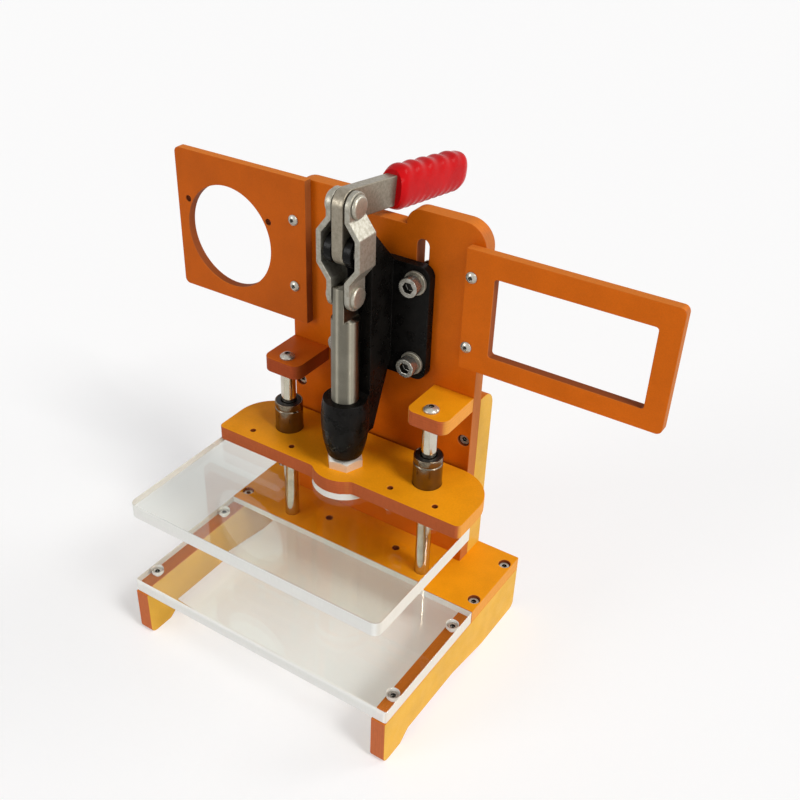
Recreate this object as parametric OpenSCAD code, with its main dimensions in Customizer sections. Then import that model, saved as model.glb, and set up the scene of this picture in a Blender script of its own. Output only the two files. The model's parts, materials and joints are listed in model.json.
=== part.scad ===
// Bench press fixture for testing circuit boards: laminate plates, a clear bed, a clear pusher
// plate on two guide rods, and a push-pull toggle clamp that lowers it.
// Origin: centre of the bed's top face. +X right, +Y to the back, +Z up.

/* [Plates] */
// Thickness of every laminate and clear plate
plate_t = 8; // [6:0.5:10]
// Width of the bed and the base plate
base_w = 160; // [150:1:200]
// Depth of the clear bed plate
bed_d = 82; // [76:1:100]
// Depth of the base plate behind the bed
base_d = 52; // [50:1:70]
// Height of the side plates
side_h = 28; // [20:1:40]
// Length of the front foot along the floor
foot_l = 15; // [10:1:20]
// Rise of the side plate's arch above the floor
arch_h = 5; // [4:0.5:8]
// Length of the slope behind the front foot
foot_slope_l = 7; // [4:1:10]
// Length of the rear foot along the floor
rear_foot_l = 36; // [25:1:45]
// Length of the slope in front of the rear foot
arch_slope_l = 32; // [15:1:36]
// Radius of the side plate's lower corners
foot_r = 4; // [2:0.5:6]

/* [Back plate] */
// Width of the back plate
back_w = 110; // [104:1:124]
// Height of the back plate
back_h = 195; // [190:1:230]
// Radius of its top corners
back_r = 12; // [6:1:16]
// Depth of the ribs behind it
rib_d = 13.5; // [10:0.5:18]
// Height of the ribs
rib_h = 101; // [80:1:110]
// Radius of a rib's rear top corner
rib_r = 9; // [4:0.5:10]
// Width of the handle's notch in the top edge
notch_w = 25; // [24:1:30]
// Gap between the grip and the notch's floor
notch_gap = 0.8; // [0.6:0.1:4]
// Radius of the notch's upper corners
notch_r = 8; // [4:0.5:8]

/* [Side panels] */
// Thickness of the panels
panel_t = 5; // [4:0.5:8]
// Reach of the left panel from the centre line
left_reach = 127; // [122:1:140]
// Lower edge of the left panel
left_z = 118.5; // [110:0.5:122]
// Height of the left panel
left_h = 77.5; // [72:0.5:90]
// Overlap of the left panel on the back plate
left_lap = 12.5; // [11:0.5:20]
// Diameter of the meter hole
meter_d = 55.5; // [45:0.5:58]
// Height of the meter hole's centre above the panel's lower edge
meter_rise = 35.5; // [34:0.5:40]
// Distance of the meter hole's centre from the panel's outer edge
meter_inset = 34; // [33:0.5:36]
// Distance between the meter's screw holes
meter_pitch = 53.5; // [50:0.5:54]
// Height of the meter's screw holes above the hole's centre
meter_screw_rise = 15; // [14:0.5:20]
// Reach of the right panel from the centre line
right_reach = 149; // [145:1:170]
// Lower edge of the right panel
right_z = 124; // [116:0.5:128]
// Height of the right panel
right_h = 61.5; // [58:0.5:70]
// Overlap of the right panel on the back plate
right_lap = 7.5; // [7:0.5:14]
// Width of the window
window_w = 76.5; // [60:0.5:78]
// Height of the window
window_h = 40; // [30:1:42]
// Width of the panel's outer upright beside the window
window_rim = 10; // [8:0.5:14]
// Height of the window above the panel's lower edge
window_rise = 10; // [8:0.5:14]
// Radius of the window's corners
window_r = 1.5; // [1:0.5:3]
// Radius of the panels' outer corners
panel_r = 3; // [1:0.5:4]
// Height of the panels' upper screws above the lower ones
panel_screw_pitch = 36; // [28:0.5:38]
// Height of a panel's middle above the middle of its screws
panel_screw_drop = 1; // [0:0.5:3]

/* [Guides] */
// Diameter of the guide rods
rod_d = 8; // [6:1:8]
// Distance between the guide rods
rod_pitch = 87; // [82:0.5:90]
// Distance of the rods in front of the back plate
rod_gap = 21.3; // [18:0.1:24]
// Underside of the rod brackets above the bed
bracket_z = 98; // [96:0.5:99]
// Width of a rod bracket
bracket_w = 22.6; // [20:0.2:24]
// Length of a bracket in front of its rod
bracket_nose = 6.5; // [6:0.5:8]
// Radius of a bracket's front corners
bracket_r = 5; // [2:0.5:6]
// Outer diameter of a linear bushing
bushing_d = 15; // [14:0.5:16]
// Length of a linear bushing
bushing_l = 24; // [22:0.5:26]
// Length of a bushing above the press plate
bushing_up = 17; // [15:0.5:18]
// Depth of the bushing's retaining groove
groove_t = 0.35; // [0.2:0.05:0.6]
// Width of the groove
groove_w = 1.1; // [0.8:0.1:1.5]
// Distance of the groove from the bushing's end
groove_in = 3.25; // [2.5:0.25:4]

/* [Press] */
// Top of the raised press plate above the bed
press_z = 63; // [62:0.5:70]
// Width of the press plate and of the clear pusher plate
press_w = 150; // [140:1:154]
// Distance from the back plate to the press plate's rear edge
press_rear_gap = 2; // [1.5:0.5:4]
// Depth of the press plate
press_d = 41.5; // [38:0.5:46]
// Radius of its rear corners
press_rear_r = 22; // [10:1:24]
// Radius of its front corners
press_front_r = 3; // [1:0.5:5]
// Radius of the bulge around the plunger's bolt
bulge_r = 17.3; // [16.5:0.1:19]
// Radius of the fillets beside the bulge
bulge_fillet = 4; // [2:0.5:6]
// Overlap of the clear pusher plate under the press plate
pusher_lap = 12; // [10:0.5:14]
// Depth of the clear pusher plate
pusher_d = 82; // [70:1:90]
// Radius of its front corners
pusher_r = 4; // [2:0.5:8]
// Radius of the pusher plate's notch around the bolt's head
pusher_notch_r = 14.5; // [13:0.5:16]
// Distance between the outer pusher screws
pusher_outer_pitch = 114; // [108:1:118]
// Distance between the inner pusher screws
pusher_inner_pitch = 62; // [54:1:66]
// Distance of the pusher screws behind the press plate's front edge
pusher_screw_in = 7.4; // [6:0.2:8]

/* [Toggle clamp] */
// Distance of the plunger's axis in front of the back plate
clamp_gap = 31.2; // [30:0.1:34]
// Diameter of the plunger
plunger_d = 14; // [12:0.5:15]
// Height of the fixed pivot above the bed
pivot_z = 182; // [180:0.5:186]
// Distance from the fixed pivot to the handle's pin
crank_r = 21.5; // [19:0.25:21.5]
// Distance between the two holes of a link
link_l = 44; // [43.5:0.25:46]
// Diameter of the pivot pins
pin_d = 6; // [5:0.25:6]
// Thickness of the handle's lever
lever_t = 6; // [5:0.25:6.5]
// Width of the lever and its arm
lever_w = 14.5; // [13:0.25:15]
// Downward slope of the handle's arm, in degrees
arm_slope = 8.2; // [4:0.2:10]
// Width of a link
link_w = 13.4; // [12:0.2:14.4]
// Thickness of a link
link_t = 2.8; // [2:0.1:3]
// Outward bow of a link
link_bow = 5.6; // [5.4:0.1:7]
// Length of a link's sloping stretches
link_slope_l = 7.4; // [6:0.2:8]
// Length of a link's narrow head below the handle's rivet
link_head_l = 6.2; // [5:0.2:6.4]
// Length of a link's narrow tail above the plunger's pin
link_tail_l = 9; // [7:0.2:9.4]
// Start of the grip along the arm
grip_start = 36.5; // [34:0.5:42]
// Length of the grip
grip_l = 68.5; // [58:0.5:80]
// Height of the grip's section
grip_h = 21; // [19:0.5:23]
// Width of the grip's section
grip_w = 14.6; // [13:0.2:17]
// Width of the clamp's flange
flange_w = 56; // [54:1:62]
// Height of the flange
flange_h = 61; // [56:1:62]
// Lower edge of the flange above the bed
flange_z = 108.5; // [108:0.5:110]
// Thickness of the flange
flange_t = 5; // [4:0.2:7]
// Radius of the flange's corners
flange_r = 6; // [3:0.5:8]
// Sideways shift of the flange and its bolts from the plunger
flange_shift = 1.5; // [0:0.5:3]
// Sideways distance between the flange's bolts
bolt_pitch_x = 41; // [38:1:45]
// Upward distance between the flange's bolts
bolt_pitch_z = 43.5; // [36:0.5:44]
// Height of the lower bolts above the flange's edge
bolt_rise = 9; // [7:0.5:9.5]
// Width of the slots that let the clamp move up and down
slot_w = 6.6; // [6.4:0.2:9]
// Length of those slots
slot_l = 69; // [66:1:72]
// Length of the slot that shows above the flange
slot_above = 11.5; // [8:0.5:12]
// Largest radius of the nose
nose_r = 12.2; // [11:0.1:13]
// Length of the nose
nose_l = 33; // [28:0.5:33]
// Radius of the nose's long curve
nose_curve_r = 70; // [60:1:110]
// Height of the nose's widest place above its lower end
nose_belly = 21; // [18:0.5:22]
// Width of the web behind the plunger
web_w = 18; // [17:0.5:20]
// Height of the web's foot above the nose's lower end
web_foot_up = 11; // [8:0.5:14]
// Length of the web's foot behind the plunger
web_foot = 4; // [2:0.5:5]
// Length of the web's level top behind the clevis
web_top = 0.5; // [0.5:0.5:8]
// Thickness of a clevis ear
ear_t = 4; // [3:0.1:4]
// Radius of a clevis ear
ear_r = 7.5; // [6.5:0.1:7.5]

/* [Hidden] */
$fn = 64;
// Gap that lets two faces move past each other
move_gap = 0.4;
// Radial clearance of a pin or rod that turns or slides in its hole
run_gap = 0.05;
// Radial clearance of a fixed pin or screw in its hole
seat_gap = 0.02;
// Gap between the nose and the nut below it
nose_gap = 1.4;
// Gap between the lever and a link
link_gap = 0.6;
// Gap between a rivet's head and the link that turns under it
rivet_gap = 0.3;
// Gap between the plunger and the web behind it
web_gap = 1.3;
// Least gap between a link's end and the plunger's shoulder
shoulder_gap = 1;
// Height of the plunger's tongue above its pin
tongue_up = 5;
// Distance of the right panel's screws from the back plate's edge
right_screw_in = 4;
// Distance of the left panel's screws from the back plate's edge
left_screw_in = 5;
// Overlap that keeps cuts clean
cut = 1;
// Thickness of the flat washers
washer_t = 1.6;

// Screw sizes: shank diameter, head diameter, head height, key width
m3 = [3, 5.5, 3, 2.5];
m3_low = [3, 5.7, 1.7, 2];
m4 = [4, 8, 2.7, 2.5];
m4_wide = [4, 12, 2.4, 2.5];
m6 = [6, 10, 6, 5];
// Clearance around an M3 shank and around its sunk head
m3_hole = 3.4;
m3_sink = 6.5;
m3_sink_h = 4.5;
m6_hole = 6.6;
m6_washer_d = 12;
m6_nut_w = 10;
m6_nut_h = 5;
bolt_d = 10;
bolt_key_w = 17;
bolt_head_h = 6.4;
jam_nut_h = 5.4;
// Length of the bolt's thread inside the plunger, and the spare hole above it
bolt_reach = 18;
bolt_spare = 2;
// Length of a clamp bolt behind its nut
bolt_tail = 1.5;
// Length by which a pusher screw stays below the press plate's top
pusher_screw_short = 3;
screw_bite = 10;
base_hole_d = 4;
base_hole_pitch = 45;
base_hole_gap = 14.3;
meter_screw_d = 3.5;

// Places along Y
bed_front = -bed_d / 2;
bed_back = bed_d / 2;
base_back = bed_back + base_d;
back_rear = base_back - rib_d;
back_front = back_rear - plate_t;
panel_front = back_front - panel_t;
rod_y = back_front - rod_gap;
axis_y = back_front - clamp_gap;
press_back = back_front - press_rear_gap;
press_front = press_back - press_d;
pusher_back = press_front + pusher_lap;
pusher_front = pusher_back - pusher_d;
pusher_screw_y = press_front + pusher_screw_in;
flange_front = back_front - flange_t;
web_front = axis_y + plunger_d / 2 + web_gap;

// Places along Z
floor_z = -plate_t - side_h;
pusher_top = press_z - plate_t;
pusher_bottom = pusher_top - plate_t;
bushing_top = press_z + bushing_up;
bracket_top = bracket_z + plate_t;
nut_top = press_z + jam_nut_h;
nose_z = nut_top + nose_gap;
pin_b_z = pivot_z + crank_r;
pin_c_z = pin_b_z - link_l;
plunger_top = pin_c_z + tongue_up;
// The link's end comes nearest to the shoulder by this share of the crank while the press moves
swing_share = 0.211;
shoulder_z = pin_c_z - link_w / 2 - swing_share * crank_r - shoulder_gap;
bolt_z = flange_z + bolt_rise;
notch_floor = pin_b_z - (back_rear - axis_y) * tan(arm_slope) - grip_h / 2 / cos(arm_slope)
  - notch_gap;

// Places along X
side_in = base_w / 2 - plate_t;
rod_x = rod_pitch / 2;
rib_x = back_w / 2 - plate_t;
bolt_x = bolt_pitch_x / 2;
link_in = lever_t / 2 + link_gap;
link_out = link_in + link_t;
ear_in = lever_t / 2 + move_gap;
ear_out = ear_in + ear_t;
tongue_t = lever_t + 2 * (link_gap - move_gap);
left_in = back_w / 2 - left_lap;
right_in = back_w / 2 - right_lap;

// Colours
laminate = [0.86, 0.46, 0.08];
clear = [0.88, 0.92, 0.9, 0.45];
zinc = [0.72, 0.72, 0.68];
chrome = [0.82, 0.82, 0.84];
casting = [0.07, 0.07, 0.08];
vinyl = [0.82, 0.06, 0.1];
steel = [0.62, 0.62, 0.6];
seal = [0.05, 0.05, 0.05];

// Helpers

// Fills a corner outside a quarter circle, to round a convex corner by cutting
module corner(r) {
  difference() {
    translate([-cut, -cut]) square(r + cut);
    translate([r, r]) circle(r);
  }
}

// Rectangle from a low corner, with all four corners rounded
module round_rect(w, h, r) {
  difference() {
    square([w, h]);
    for (sx = [0, 1], sy = [0, 1])
      translate([sx * w, sy * h]) mirror([sx, 0]) mirror([0, sy]) corner(r);
  }
}

// Plate that stands across Y: a drawing in X and Z, made thick towards the back from y
module upright(y, t) {
  translate([0, y + t, 0]) rotate([90, 0, 0]) linear_extrude(t) children();
}

// Plate that stands across X: a drawing in Y and Z, made thick towards +X from x
module sidewise(x, t) {
  translate([x, 0, 0]) rotate([90, 0, 90]) linear_extrude(t) children();
}

// Level plate: a drawing in X and Y, made thick upwards from z
module level(z, t) {
  translate([0, 0, z]) linear_extrude(t) children();
}

// Round bar or hole along X, Y or Z
module along_x(d, x0, x1, y, z) {
  translate([x0, y, z]) rotate([0, 90, 0]) cylinder(d = d, h = x1 - x0);
}

module along_y(d, y0, y1, x, z) {
  translate([x, y1, z]) rotate([90, 0, 0]) cylinder(d = d, h = y1 - y0);
}

module along_z(d, z0, z1, x, y) {
  translate([x, y, z0]) cylinder(d = d, h = z1 - z0);
}

// Screw with a keyed round head, pointing down from the head's seat at the origin
module socket_screw(size, l) {
  difference() {
    union() {
      cylinder(d = size[1], h = size[2]);
      translate([0, 0, -l]) cylinder(d = size[0], h = l + cut / 4);
    }
    translate([0, 0, size[2] / 2]) cylinder(d = size[3] / cos(30), h = size[2], $fn = 6);
  }
}

// Screw with a low domed head, pointing down from the head's seat at the origin
module dome_screw(size, l) {
  dome_h = size[2] * 0.7;
  dome_r = (pow(size[1] / 2, 2) + pow(dome_h, 2)) / (2 * dome_h);
  difference() {
    union() {
      intersection() {
        cylinder(d = size[1], h = size[2]);
        translate([0, 0, size[2] - dome_r]) sphere(dome_r);
      }
      translate([0, 0, -l]) cylinder(d = size[0], h = l + cut / 4);
    }
    translate([0, 0, size[2] / 2]) cylinder(d = size[3] / cos(30), h = size[2], $fn = 6);
  }
}

// Places of the repeated parts
bed_screw_in = 13;
base_screw_in = 9;
function edge_screws(y0, y1, inset) =
  [for (sx = [-1, 1], y = [y0 + inset, y1 - inset]) [sx * (side_in + plate_t / 2), y]];
bed_screw_at = edge_screws(bed_front, bed_back, bed_screw_in);
base_screw_at = edge_screws(bed_back, base_back, base_screw_in);
pusher_screw_at = [for (p = [pusher_outer_pitch, pusher_inner_pitch], sx = [-1, 1])
  [sx * p / 2, pusher_screw_y]];
bolt_at = [for (sx = [-1, 1], dz = [0, bolt_pitch_z]) [flange_shift + sx * bolt_x, bolt_z + dz]];
rib_screw_in = 22;
rib_screw_at = [for (sx = [-1, 1], z = [rib_screw_in, rib_h - rib_screw_in])
  [sx * (rib_x + plate_t / 2), z]];
left_screw_z = left_z + left_h / 2 - panel_screw_drop;
right_screw_z = right_z + right_h / 2 - panel_screw_drop;
panel_screw_at = [for (side = [[-1, left_screw_z], [1, right_screw_z]], dz = [-0.5, 0.5])
  [side[0] * (back_w / 2 - (side[0] < 0 ? left_screw_in : right_screw_in)),
   side[1] + dz * panel_screw_pitch]];
bracket_x = back_w / 2 - bracket_w / 2;
bracket_screw_in = 4;
bracket_in = back_w / 2 - bracket_w;
bracket_screw_at = [for (sx = [-1, 1], x = [bracket_in + bracket_screw_in, rib_x - bracket_screw_in])
  [sx * x, bracket_z + plate_t / 2]];
back_screw_in = 20;
back_screw_at = [for (x = [-1, 0, 1]) [x * (back_w / 2 - back_screw_in), (back_front + back_rear) / 2]];

// Base

module side_profile() {
  front_toe = bed_front + foot_l;
  arch_front = front_toe + foot_slope_l;
  rear_heel = base_back - rear_foot_l;
  arch_rear = rear_heel - arch_slope_l;
  difference() {
    polygon([
      [bed_front, floor_z], [front_toe, floor_z], [arch_front, floor_z + arch_h],
      [arch_rear, floor_z + arch_h], [rear_heel, floor_z], [base_back, floor_z],
      [base_back, -plate_t], [bed_front, -plate_t]
    ]);
    translate([bed_front, floor_z]) corner(foot_r);
    translate([base_back, floor_z]) mirror([1, 0]) corner(foot_r);
  }
}

module side_plate(x) {
  color(laminate) difference() {
    sidewise(x, plate_t) side_profile();
    for (p = concat(bed_screw_at, base_screw_at))
      along_z(m3[0] + 2 * seat_gap, m3_sink_h - 2 * plate_t - screw_bite, cut, p[0], p[1]);
  }
}

module side_plate_left() {
  side_plate(-base_w / 2);
}

module side_plate_right() {
  side_plate(side_in);
}

// Counterbored screw holes through a level plate whose top is at zero
module sunk_holes(places) {
  for (p = places) {
    along_z(m3_hole, -plate_t - cut, cut, p[0], p[1]);
    along_z(m3_sink, -m3_sink_h, cut, p[0], p[1]);
  }
}

module bed_plate() {
  color(clear) difference() {
    level(-plate_t, plate_t) translate([-base_w / 2, bed_front]) square([base_w, bed_d]);
    sunk_holes(bed_screw_at);
  }
}

module base_plate() {
  color(laminate) difference() {
    level(-plate_t, plate_t) translate([-base_w / 2, bed_back]) square([base_w, base_d]);
    sunk_holes(base_screw_at);
    for (sx = [-1, 1]) {
      along_z(rod_d + 2 * seat_gap, -plate_t - cut, cut, sx * rod_x, rod_y);
      along_z(base_hole_d, -plate_t - cut, cut, sx * base_hole_pitch / 2, back_front - base_hole_gap);
    }
    for (p = back_screw_at) along_z(m3_hole, -plate_t - cut, cut, p[0], p[1]);
  }
}

// Back plate, ribs and side panels

module slot(x) {
  slot_top = flange_z + flange_h + slot_above;
  translate([x - slot_w / 2, slot_top - slot_l]) round_rect(slot_w, slot_l, slot_w / 2);
}

module back_plate() {
  color(laminate) difference() {
    upright(back_front, plate_t) difference() {
      translate([-back_w / 2, 0]) square([back_w, back_h]);
      for (s = [0, 1]) {
        mirror([s, 0]) translate([-back_w / 2, back_h]) mirror([0, 1]) corner(back_r);
        mirror([s, 0]) translate([notch_w / 2, back_h]) mirror([0, 1])
          corner(min(notch_r, back_h - notch_floor));
        translate([flange_shift, 0]) mirror([s, 0]) slot(bolt_x);
      }
      translate([-notch_w / 2, notch_floor]) square([notch_w, back_h - notch_floor + cut]);
      for (p = panel_screw_at) translate(p) circle(d = m3[0] + 2 * seat_gap);
      for (p = bracket_screw_at) translate(p) circle(d = m3_hole);
      for (p = rib_screw_at) translate(p) circle(d = m3_hole);
    }
    for (p = rib_screw_at)
      along_y(m3_sink, back_front - cut, back_front + m3_sink_h, p[0], p[1]);
    for (p = back_screw_at) along_z(m3[0] + 2 * seat_gap, -cut, screw_bite, p[0], p[1]);
  }
}

module rib(x) {
  color(laminate) difference() {
    sidewise(x, plate_t) difference() {
      translate([back_rear, 0]) square([rib_d, rib_h]);
      translate([base_back, rib_h]) mirror([1, 0]) mirror([0, 1]) corner(rib_r);
    }
    for (p = rib_screw_at)
      along_y(m3[0] + 2 * seat_gap, back_rear - cut, back_rear + screw_bite, p[0], p[1]);
  }
}

module rib_left() {
  rib(-back_w / 2);
}

module rib_right() {
  rib(rib_x);
}

module panel_left() {
  color(laminate) upright(panel_front, panel_t) difference() {
    translate([-left_reach, left_z]) {
      round_rect(left_reach - left_in, left_h, panel_r);
      translate([panel_r, 0]) square([left_reach - left_in - panel_r, left_h]);
    }
    translate([-left_reach + meter_inset, left_z + meter_rise]) {
      circle(d = meter_d, $fn = 128);
      for (sx = [-1, 1])
        translate([sx * meter_pitch / 2, meter_screw_rise]) circle(d = meter_screw_d);
    }
    for (p = panel_screw_at) translate(p) circle(d = m3_hole);
  }
}

module panel_right() {
  color(laminate) upright(panel_front, panel_t) difference() {
    translate([right_in, right_z]) {
      round_rect(right_reach - right_in, right_h, panel_r);
      square([right_reach - right_in - panel_r, right_h]);
    }
    translate([right_reach - window_rim - window_w, right_z + window_rise])
      round_rect(window_w, window_h, window_r);
    for (p = panel_screw_at) translate(p) circle(d = m3_hole);
  }
}

// Rod brackets, rods and bushings

module bracket(side) {
  front = rod_y - bracket_nose;
  color(laminate) difference() {
    level(bracket_z, plate_t) translate([side * bracket_x - bracket_w / 2, front]) difference() {
      square([bracket_w, back_front - front]);
      corner(bracket_r);
      translate([bracket_w, 0]) mirror([1, 0]) corner(bracket_r);
    }
    along_z(m4[0] + 2 * seat_gap, bracket_z - cut, bracket_top + cut, side * rod_x, rod_y);
    for (p = bracket_screw_at)
      along_y(m3[0] + 2 * seat_gap, back_front - screw_bite, back_front + cut, p[0], p[1]);
  }
}

module bracket_left() {
  bracket(-1);
}

module bracket_right() {
  bracket(1);
}

module rod(side) {
  color(chrome) difference() {
    along_z(rod_d, -plate_t, bracket_z, side * rod_x, rod_y);
    along_z(m4[0] + 2 * seat_gap, bracket_z - screw_bite, bracket_z + cut, side * rod_x, rod_y);
    along_z(m4[0] + 2 * seat_gap, -plate_t - cut, screw_bite - plate_t, side * rod_x, rod_y);
  }
}

module rod_left() {
  rod(-1);
}

module rod_right() {
  rod(1);
}

seal_t = 2;
seal_wall = 0.7;

module bushing(side) {
  bottom = bushing_top - bushing_l;
  color(steel) translate([side * rod_x, rod_y, bottom]) difference() {
    cylinder(d = bushing_d, h = bushing_l);
    translate([0, 0, -cut]) cylinder(d = rod_d + 2 * run_gap, h = bushing_l + 2 * cut);
    for (z = [groove_in, bushing_l - groove_in - groove_w]) translate([0, 0, z]) difference() {
      cylinder(d = bushing_d + cut, h = groove_w);
      cylinder(d = bushing_d - 2 * groove_t, h = groove_w);
    }
    for (z = [-cut, bushing_l - seal_t])
      translate([0, 0, z]) cylinder(d = bushing_d - 2 * seal_wall, h = seal_t + cut);
  }
}

module bushing_left() {
  bushing(-1);
}

module bushing_right() {
  bushing(1);
}

module bushing_seals() {
  inner_d = rod_d + 2 * move_gap;
  color(seal) for (side = [-1, 1], z = [bushing_top - bushing_l, bushing_top - seal_t])
    translate([side * rod_x, rod_y, z]) difference() {
      cylinder(d = bushing_d - 2 * seal_wall - 2 * seat_gap, h = seal_t);
      translate([0, 0, -cut]) cylinder(d = inner_d, h = seal_t + 2 * cut);
    }
}

// Press plate and clear pusher plate

// Fillet between the front edge and the bulge, on the +X side
module bulge_blend() {
  rise = axis_y - press_front + bulge_fillet;
  side = sqrt(pow(bulge_r + bulge_fillet, 2) - pow(rise, 2));
  centre = [side, press_front - bulge_fillet];
  difference() {
    polygon([[0, axis_y], centre, [side, press_front]]);
    translate(centre) circle(bulge_fillet);
  }
}

module press_outline() {
  difference() {
    translate([-press_w / 2, press_front]) square([press_w, press_d]);
    for (s = [0, 1]) mirror([s, 0]) {
      translate([-press_w / 2, press_front]) corner(press_front_r);
      translate([-press_w / 2, press_back]) mirror([0, 1]) corner(press_rear_r);
    }
  }
  translate([0, axis_y]) circle(bulge_r, $fn = 128);
  for (s = [0, 1]) mirror([s, 0]) bulge_blend();
}

module press_plate() {
  color(laminate) level(pusher_top, plate_t) difference() {
    press_outline();
    for (sx = [-1, 1]) translate([sx * rod_x, rod_y]) circle(d = bushing_d + 2 * seat_gap);
    translate([0, axis_y]) circle(d = bolt_d + 2 * seat_gap);
    for (p = pusher_screw_at) translate(p) circle(d = m3[0] + 2 * seat_gap);
  }
}

module pusher_plate() {
  color(clear) level(pusher_bottom, plate_t) difference() {
    translate([-press_w / 2, pusher_front]) square([press_w, pusher_d]);
    for (s = [0, 1]) mirror([s, 0]) translate([-press_w / 2, pusher_front]) corner(pusher_r);
    translate([0, axis_y]) circle(pusher_notch_r, $fn = 128);
    for (p = pusher_screw_at) translate(p) circle(d = m3_hole);
  }
}

// Toggle clamp

module nose() {
  translate([0, axis_y, nose_z]) rotate_extrude($fn = 128) intersection() {
    translate([nose_r - nose_curve_r, nose_belly]) circle(nose_curve_r, $fn = 256);
    square([nose_r + cut, nose_l]);
  }
}

// Web between the nose, the flange and the clevis, drawn in Y and Z
module web_profile() {
  nose_top = nose_z + nose_l;
  flange_top = flange_z + flange_h;
  polygon([
    [axis_y, nose_z + web_foot_up], [web_front + web_foot, nose_z + web_foot_up],
    [flange_front + cut, flange_z + bolt_rise], [flange_front + cut, flange_top],
    [web_front + web_top, pivot_z + ear_r], [web_front, pivot_z + ear_r],
    [web_front, nose_top], [axis_y, nose_top]
  ]);
}

module clevis_ear(x) {
  sidewise(x, ear_t) {
    translate([axis_y, pivot_z]) circle(ear_r);
    translate([axis_y, pivot_z - ear_r]) square([web_front + cut - axis_y, 2 * ear_r]);
  }
}

module clamp_body() {
  color(casting) difference() {
    union() {
      upright(flange_front, flange_t) translate([flange_shift - flange_w / 2, flange_z])
        round_rect(flange_w, flange_h, flange_r);
      sidewise(-web_w / 2, web_w) web_profile();
      nose();
      clevis_ear(ear_in);
      clevis_ear(-ear_out);
    }
    along_z(plunger_d + 2 * run_gap, nose_z - cut, pivot_z - ear_r - cut, 0, axis_y);
    for (p = bolt_at) along_y(m6_hole, flange_front - cut, back_front + cut, p[0], p[1]);
    along_x(pin_d + 2 * seat_gap, -ear_out - cut, ear_out + cut, axis_y, pivot_z);
  }
}

// Pin with a low head at each end, along X through the clamp's middle plane
module headed_pin(half, head_d, head_t, z) {
  along_x(pin_d, -half, half, axis_y, z);
  along_x(head_d, half, half + head_t, axis_y, z);
  along_x(head_d, -half - head_t, -half, axis_y, z);
}

pivot_head_d = 9;
pivot_head_t = 1.3;
rivet_head_d = 11;
rivet_head_t = 1.6;

module pivot_pin() {
  color(zinc) headed_pin(ear_out, pivot_head_d, pivot_head_t, pivot_z);
}

module clamp_bolts() {
  seat = flange_front - washer_t;
  color(steel) for (p = bolt_at)
    translate([p[0], seat, p[1]]) rotate([90, 0, 0])
      socket_screw(m6, back_rear + washer_t + m6_nut_h + bolt_tail - seat);
}

module flat_washer(y, p) {
  difference() {
    along_y(m6_washer_d, y, y + washer_t, p[0], p[1]);
    along_y(m6_hole, y - cut, y + washer_t + cut, p[0], p[1]);
  }
}

module clamp_washers() {
  color(zinc) for (p = bolt_at) flat_washer(flange_front - washer_t, p);
}

module clamp_back_washers() {
  color(zinc) for (p = bolt_at) flat_washer(back_rear, p);
}

module clamp_nuts() {
  color(zinc) for (p = bolt_at) difference() {
    translate([p[0], back_rear + washer_t + m6_nut_h, p[1]]) rotate([90, 0, 0])
      cylinder(d = m6_nut_w / cos(30), h = m6_nut_h, $fn = 6);
    along_y(m6[0] + 2 * seat_gap, back_rear, back_rear + 2 * m6_nut_h, p[0], p[1]);
  }
}

// Drawing of the lever in Y and Z: an upright leg from the pivot and an arm to the back
module lever_profile() {
  arm_l = grip_start + grip_l - lever_w;
  for (z = [pivot_z, pin_b_z]) translate([axis_y, z]) circle(d = lever_w);
  translate([axis_y - lever_w / 2, pivot_z]) square([lever_w, crank_r]);
  translate([axis_y, pin_b_z]) rotate(-arm_slope) {
    translate([0, -lever_w / 2]) square([arm_l, lever_w]);
    translate([lever_w / 2, -lever_w]) difference() {
      square(lever_w / 2);
      translate([lever_w / 2, 0]) circle(lever_w / 2);
    }
  }
}

module handle_lever() {
  color(zinc) difference() {
    sidewise(-lever_t / 2, lever_t) lever_profile();
    along_x(pin_d + 2 * run_gap, -lever_t, lever_t, axis_y, pivot_z);
    along_x(pin_d + 2 * seat_gap, -lever_t, lever_t, axis_y, pin_b_z);
  }
}

// Rounded oval bar along the arm, from the arm's start to a domed end
module grip_form() {
  lift = (grip_h - grip_w) / 2;
  barrel_l = grip_l - grip_w / 2;
  for (z = [-lift, lift]) {
    along_y(grip_w, 0, barrel_l, 0, z);
    translate([0, barrel_l, z]) sphere(d = grip_w);
  }
  translate([-grip_w / 2, 0, -lift]) cube([grip_w, barrel_l, 2 * lift]);
  translate([0, barrel_l, -lift]) cylinder(d = grip_w, h = 2 * lift);
}

module handle_grip() {
  color(vinyl) translate([0, axis_y, pin_b_z]) rotate([-arm_slope, 0, 0]) difference() {
    translate([0, grip_start, 0]) grip_form();
    translate([-lever_t / 2 - seat_gap, 0, -lever_w / 2 - seat_gap])
      cube([lever_t + 2 * seat_gap, grip_start + grip_l - lever_w, lever_w + 2 * seat_gap]);
  }
}

module handle_rivet() {
  color(zinc) headed_pin(link_out + rivet_gap, rivet_head_d, rivet_head_t, pin_b_z);
}

// Edge of a bowed link in X and Z, from the given face at the ends to its bow
module link_edge() {
  mitre = link_t * tan(atan(link_bow / link_slope_l) / 2);
  top = pin_b_z + link_w;
  bottom = pin_c_z - link_w;
  upper = pin_b_z - link_head_l;
  lower = pin_c_z + link_tail_l;
  polygon([
    [link_in, bottom], [link_in, lower], [link_in + link_bow, lower + link_slope_l],
    [link_in + link_bow, upper - link_slope_l], [link_in, upper], [link_in, top],
    [link_out, top], [link_out, upper + mitre], [link_out + link_bow, upper - link_slope_l + mitre],
    [link_out + link_bow, lower + link_slope_l - mitre], [link_out, lower - mitre], [link_out, bottom]
  ]);
}

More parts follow.
